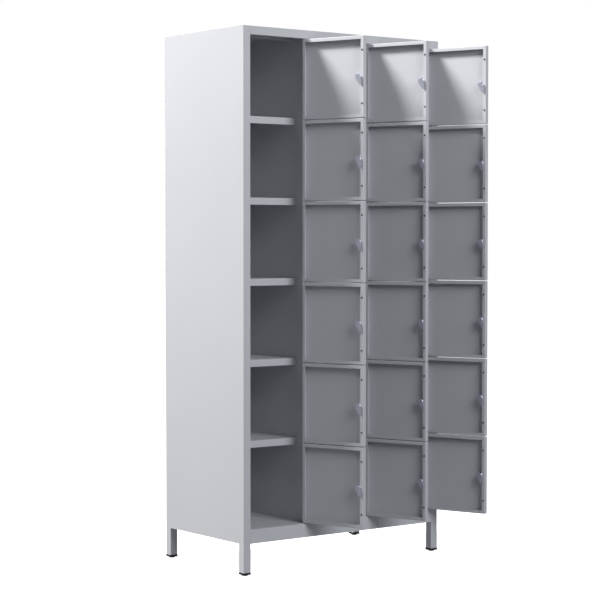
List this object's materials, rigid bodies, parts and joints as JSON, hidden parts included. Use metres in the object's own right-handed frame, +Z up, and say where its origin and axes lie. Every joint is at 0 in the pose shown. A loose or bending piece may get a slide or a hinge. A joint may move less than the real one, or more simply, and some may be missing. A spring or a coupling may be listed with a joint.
{
  "type": "parcel locker",
  "caption": "Free-standing steel parcel locker on four square legs, with columns of equal compartments, each with a hinged door and a cam lock.",
  "frame": {"origin": "on the floor, under the middle of the whole object's box as it stands with its doors open at 110 degrees", "axes": "+Z up the cabinet, +Y from the doors to the back panel, +X to the right as seen from the front"},
  "size_m": [0.9494, 0.732, 1.93],
  "materials": {
    "painted_steel": "satin light grey powder coat",
    "lock_metal": "nickel-plated die casting",
    "zinc_plated_steel": "bright zinc plate",
    "black_plastic": "moulded black plastic",
    "rubber_black": "moulded rubber",
    "nylon_bush": "moulded nylon"
  },
  "bodies": {
    "cabinet": {"side_panel_left": "painted_steel", "side_panel_right": "painted_steel", "partition_left": "painted_steel", "partition_right": "painted_steel", "back_panel": "painted_steel", "top_panel": "painted_steel", "base_panel": "painted_steel", "top_rail": "painted_steel", "bottom_rail": "painted_steel", "ceiling_panels": "painted_steel", "floor_panels": "painted_steel", "shelves_level_1": "painted_steel", "shelves_level_2": "painted_steel", "shelves_level_3": "painted_steel", "shelves_level_4": "painted_steel", "shelves_level_5": "painted_steel", "leg_front_left": "painted_steel", "leg_front_right": "painted_steel", "leg_rear_left": "painted_steel", "leg_rear_right": "painted_steel", "foot_caps": "black_plastic", "hinge_plates": "painted_steel", "hinge_pins": "zinc_plated_steel", "door_stops": "painted_steel"},
    "door_r1_c1": {"door_r1_c1": "painted_steel"},
    "door_r1_c2": {"door_r1_c2": "painted_steel"},
    "door_r1_c3": {"door_r1_c3": "painted_steel"},
    "door_r2_c1": {"door_r2_c1": "painted_steel"},
    "door_r2_c2": {"door_r2_c2": "painted_steel"},
    "door_r2_c3": {"door_r2_c3": "painted_steel"},
    "door_r3_c1": {"door_r3_c1": "painted_steel"},
    "door_r3_c2": {"door_r3_c2": "painted_steel"},
    "door_r3_c3": {"door_r3_c3": "painted_steel"},
    "door_r4_c1": {"door_r4_c1": "painted_steel"},
    "door_r4_c2": {"door_r4_c2": "painted_steel"},
    "door_r4_c3": {"door_r4_c3": "painted_steel"},
    "door_r5_c1": {"door_r5_c1": "painted_steel"},
    "door_r5_c2": {"door_r5_c2": "painted_steel"},
    "door_r5_c3": {"door_r5_c3": "painted_steel"},
    "door_r6_c1": {"door_r6_c1": "painted_steel"},
    "door_r6_c2": {"door_r6_c2": "painted_steel"},
    "door_r6_c3": {"door_r6_c3": "painted_steel"},
    "lock_r1_c1": {"lock_cam_r1_c1": "lock_metal"},
    "lock_r1_c2": {"lock_cam_r1_c2": "lock_metal"},
    "lock_r1_c3": {"lock_cam_r1_c3": "lock_metal"},
    "lock_r2_c1": {"lock_cam_r2_c1": "lock_metal"},
    "lock_r2_c2": {"lock_cam_r2_c2": "lock_metal"},
    "lock_r2_c3": {"lock_cam_r2_c3": "lock_metal"},
    "lock_r3_c1": {"lock_cam_r3_c1": "lock_metal"},
    "lock_r3_c2": {"lock_cam_r3_c2": "lock_metal"},
    "lock_r3_c3": {"lock_cam_r3_c3": "lock_metal"},
    "lock_r4_c1": {"lock_cam_r4_c1": "lock_metal"},
    "lock_r4_c2": {"lock_cam_r4_c2": "lock_metal"},
    "lock_r4_c3": {"lock_cam_r4_c3": "lock_metal"},
    "lock_r5_c1": {"lock_cam_r5_c1": "lock_metal"},
    "lock_r5_c2": {"lock_cam_r5_c2": "lock_metal"},
    "lock_r5_c3": {"lock_cam_r5_c3": "lock_metal"},
    "lock_r6_c1": {"lock_cam_r6_c1": "lock_metal"},
    "lock_r6_c2": {"lock_cam_r6_c2": "lock_metal"},
    "lock_r6_c3": {"lock_cam_r6_c3": "lock_metal"}
  },
  "joints": [
    {"name": "door_r1_c1_hinge", "type": "hinge", "parent": "cabinet", "child": "door_r1_c1", "pos_m": [-0.19468, -0.12882, 1.75412], "axis": [0, 0, 1], "range_deg": [-110, 0]},
    {"name": "door_r1_c2_hinge", "type": "hinge", "parent": "cabinet", "child": "door_r1_c2", "pos_m": [0.09532, -0.12882, 1.75412], "axis": [0, 0, 1], "range_deg": [-110, 0]},
    {"name": "door_r1_c3_hinge", "type": "hinge", "parent": "cabinet", "child": "door_r1_c3", "pos_m": [0.38532, -0.12882, 1.75412], "axis": [0, 0, 1], "range_deg": [-110, 0]},
    {"name": "door_r2_c1_hinge", "type": "hinge", "parent": "cabinet", "child": "door_r2_c1", "pos_m": [-0.19468, -0.12882, 1.46487], "axis": [0, 0, 1], "range_deg": [-110, 0]},
    {"name": "door_r2_c2_hinge", "type": "hinge", "parent": "cabinet", "child": "door_r2_c2", "pos_m": [0.09532, -0.12882, 1.46487], "axis": [0, 0, 1], "range_deg": [-110, 0]},
    {"name": "door_r2_c3_hinge", "type": "hinge", "parent": "cabinet", "child": "door_r2_c3", "pos_m": [0.38532, -0.12882, 1.46487], "axis": [0, 0, 1], "range_deg": [-110, 0]},
    {"name": "door_r3_c1_hinge", "type": "hinge", "parent": "cabinet", "child": "door_r3_c1", "pos_m": [-0.19468, -0.12882, 1.17562], "axis": [0, 0, 1], "range_deg": [-110, 0]},
    {"name": "door_r3_c2_hinge", "type": "hinge", "parent": "cabinet", "child": "door_r3_c2", "pos_m": [0.09532, -0.12882, 1.17562], "axis": [0, 0, 1], "range_deg": [-110, 0]},
    {"name": "door_r3_c3_hinge", "type": "hinge", "parent": "cabinet", "child": "door_r3_c3", "pos_m": [0.38532, -0.12882, 1.17562], "axis": [0, 0, 1], "range_deg": [-110, 0]},
    {"name": "door_r4_c1_hinge", "type": "hinge", "parent": "cabinet", "child": "door_r4_c1", "pos_m": [-0.19468, -0.12882, 0.88638], "axis": [0, 0, 1], "range_deg": [-110, 0]},
    {"name": "door_r4_c2_hinge", "type": "hinge", "parent": "cabinet", "child": "door_r4_c2", "pos_m": [0.09532, -0.12882, 0.88638], "axis": [0, 0, 1], "range_deg": [-110, 0]},
    {"name": "door_r4_c3_hinge", "type": "hinge", "parent": "cabinet", "child": "door_r4_c3", "pos_m": [0.38532, -0.12882, 0.88638], "axis": [0, 0, 1], "range_deg": [-110, 0]},
    {"name": "door_r5_c1_hinge", "type": "hinge", "parent": "cabinet", "child": "door_r5_c1", "pos_m": [-0.19468, -0.12882, 0.59713], "axis": [0, 0, 1], "range_deg": [-110, 0]},
    {"name": "door_r5_c2_hinge", "type": "hinge", "parent": "cabinet", "child": "door_r5_c2", "pos_m": [0.09532, -0.12882, 0.59713], "axis": [0, 0, 1], "range_deg": [-110, 0]},
    {"name": "door_r5_c3_hinge", "type": "hinge", "parent": "cabinet", "child": "door_r5_c3", "pos_m": [0.38532, -0.12882, 0.59713], "axis": [0, 0, 1], "range_deg": [-110, 0]},
    {"name": "door_r6_c1_hinge", "type": "hinge", "parent": "cabinet", "child": "door_r6_c1", "pos_m": [-0.19468, -0.12882, 0.30788], "axis": [0, 0, 1], "range_deg": [-110, 0]},
    {"name": "door_r6_c2_hinge", "type": "hinge", "parent": "cabinet", "child": "door_r6_c2", "pos_m": [0.09532, -0.12882, 0.30788], "axis": [0, 0, 1], "range_deg": [-110, 0]},
    {"name": "door_r6_c3_hinge", "type": "hinge", "parent": "cabinet", "child": "door_r6_c3", "pos_m": [0.38532, -0.12882, 0.30788], "axis": [0, 0, 1], "range_deg": [-110, 0]},
    {"name": "lock_r1_c1_turn", "type": "hinge", "parent": "door_r1_c1", "child": "lock_r1_c1", "pos_m": [-0.1302, -0.34692, 1.75412], "axis": [-0.9397, -0.342, 0], "range_deg": [-25, 65]},
    {"name": "lock_r1_c2_turn", "type": "hinge", "parent": "door_r1_c2", "child": "lock_r1_c2", "pos_m": [0.1598, -0.34692, 1.75412], "axis": [-0.9397, -0.342, 0], "range_deg": [-25, 65]},
    {"name": "lock_r1_c3_turn", "type": "hinge", "parent": "door_r1_c3", "child": "lock_r1_c3", "pos_m": [0.4498, -0.34692, 1.75412], "axis": [-0.9397, -0.342, 0], "range_deg": [-25, 65]},
    {"name": "lock_r2_c1_turn", "type": "hinge", "parent": "door_r2_c1", "child": "lock_r2_c1", "pos_m": [-0.1302, -0.34692, 1.46487], "axis": [-0.9397, -0.342, 0], "range_deg": [-25, 65]},
    {"name": "lock_r2_c2_turn", "type": "hinge", "parent": "door_r2_c2", "child": "lock_r2_c2", "pos_m": [0.1598, -0.34692, 1.46487], "axis": [-0.9397, -0.342, 0], "range_deg": [-25, 65]},
    {"name": "lock_r2_c3_turn", "type": "hinge", "parent": "door_r2_c3", "child": "lock_r2_c3", "pos_m": [0.4498, -0.34692, 1.46487], "axis": [-0.9397, -0.342, 0], "range_deg": [-25, 65]},
    {"name": "lock_r3_c1_turn", "type": "hinge", "parent": "door_r3_c1", "child": "lock_r3_c1", "pos_m": [-0.1302, -0.34692, 1.17562], "axis": [-0.9397, -0.342, 0], "range_deg": [-25, 65]},
    {"name": "lock_r3_c2_turn", "type": "hinge", "parent": "door_r3_c2", "child": "lock_r3_c2", "pos_m": [0.1598, -0.34692, 1.17562], "axis": [-0.9397, -0.342, 0], "range_deg": [-25, 65]},
    {"name": "lock_r3_c3_turn", "type": "hinge", "parent": "door_r3_c3", "child": "lock_r3_c3", "pos_m": [0.4498, -0.34692, 1.17562], "axis": [-0.9397, -0.342, 0], "range_deg": [-25, 65]},
    {"name": "lock_r4_c1_turn", "type": "hinge", "parent": "door_r4_c1", "child": "lock_r4_c1", "pos_m": [-0.1302, -0.34692, 0.88638], "axis": [-0.9397, -0.342, 0], "range_deg": [-25, 65]},
    {"name": "lock_r4_c2_turn", "type": "hinge", "parent": "door_r4_c2", "child": "lock_r4_c2", "pos_m": [0.1598, -0.34692, 0.88638], "axis": [-0.9397, -0.342, 0], "range_deg": [-25, 65]},
    {"name": "lock_r4_c3_turn", "type": "hinge", "parent": "door_r4_c3", "child": "lock_r4_c3", "pos_m": [0.4498, -0.34692, 0.88638], "axis": [-0.9397, -0.342, 0], "range_deg": [-25, 65]},
    {"name": "lock_r5_c1_turn", "type": "hinge", "parent": "door_r5_c1", "child": "lock_r5_c1", "pos_m": [-0.1302, -0.34692, 0.59713], "axis": [-0.9397, -0.342, 0], "range_deg": [-25, 65]},
    {"name": "lock_r5_c2_turn", "type": "hinge", "parent": "door_r5_c2", "child": "lock_r5_c2", "pos_m": [0.1598, -0.34692, 0.59713], "axis": [-0.9397, -0.342, 0], "range_deg": [-25, 65]},
    {"name": "lock_r5_c3_turn", "type": "hinge", "parent": "door_r5_c3", "child": "lock_r5_c3", "pos_m": [0.4498, -0.34692, 0.59713], "axis": [-0.9397, -0.342, 0], "range_deg": [-25, 65]},
    {"name": "lock_r6_c1_turn", "type": "hinge", "parent": "door_r6_c1", "child": "lock_r6_c1", "pos_m": [-0.1302, -0.34692, 0.30788], "axis": [-0.9397, -0.342, 0], "range_deg": [-25, 65]},
    {"name": "lock_r6_c2_turn", "type": "hinge", "parent": "door_r6_c2", "child": "lock_r6_c2", "pos_m": [0.1598, -0.34692, 0.30788], "axis": [-0.9397, -0.342, 0], "range_deg": [-25, 65]},
    {"name": "lock_r6_c3_turn", "type": "hinge", "parent": "door_r6_c3", "child": "lock_r6_c3", "pos_m": [0.4498, -0.34692, 0.30788], "axis": [-0.9397, -0.342, 0], "range_deg": [-25, 65]}
  ]
}
